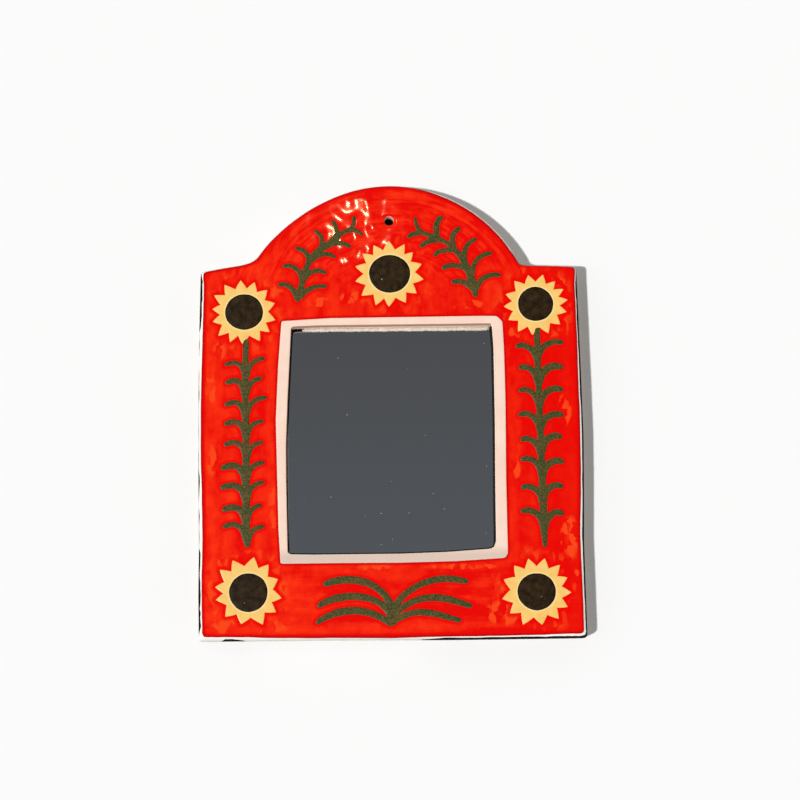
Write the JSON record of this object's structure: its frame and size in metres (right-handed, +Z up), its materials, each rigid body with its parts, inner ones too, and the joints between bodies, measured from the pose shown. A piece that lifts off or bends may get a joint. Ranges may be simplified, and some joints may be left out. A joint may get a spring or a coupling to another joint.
{
  "type": "ceramic framed mirror",
  "caption": "Wall mirror in an arched red glazed ceramic slab frame, painted with sunflowers and leaf sprigs, hung by a hole in the arch.",
  "frame": {"origin": "on the axis of the hanging hole, in the plane of the wall that the pads rest on", "axes": "+Z up, X to the right seen from the front, +Y from the mirror into the wall"},
  "size_m": [0.222, 0.017, 0.2645],
  "materials": {
    "red_glazed_ceramic": "gloss red glaze on the face, white sides and back",
    "cream_glaze": "gloss",
    "yellow_glaze": "satin",
    "dark_brown_glaze": "gloss, mottled",
    "green_glaze": "gloss, mottled",
    "silvered_glass": "polished",
    "backing_paint": "matte paint film",
    "adhesive": "satin",
    "grey_board": "matte",
    "paper_tape": "matte",
    "felt": "matte"
  },
  "bodies": {
    "root": {"ceramic_frame": "red_glazed_ceramic", "window_border": "cream_glaze", "petals_top_centre": "yellow_glaze", "petals_top_left": "yellow_glaze", "petals_top_right": "yellow_glaze", "petals_bottom_left": "yellow_glaze", "petals_bottom_right": "yellow_glaze", "disc_top_centre": "dark_brown_glaze", "disc_top_left": "dark_brown_glaze", "disc_top_right": "dark_brown_glaze", "disc_bottom_left": "dark_brown_glaze", "disc_bottom_right": "dark_brown_glaze", "sprig_left": "green_glaze", "sprig_right": "green_glaze", "sprig_arch_left": "green_glaze", "sprig_arch_right": "green_glaze", "spray_bottom": "green_glaze", "mirror_glass": "silvered_glass", "mirror_silvering": "backing_paint", "backing_board": "grey_board", "adhesive_top": "adhesive", "adhesive_bottom": "adhesive", "adhesive_left": "adhesive", "adhesive_right": "adhesive", "tape_top": "paper_tape", "tape_bottom": "paper_tape", "tape_left": "paper_tape", "tape_right": "paper_tape", "felt_pad_top_left": "felt", "felt_pad_top_right": "felt", "felt_pad_bottom_left": "felt", "felt_pad_bottom_right": "felt"}
  },
  "joints": []
}
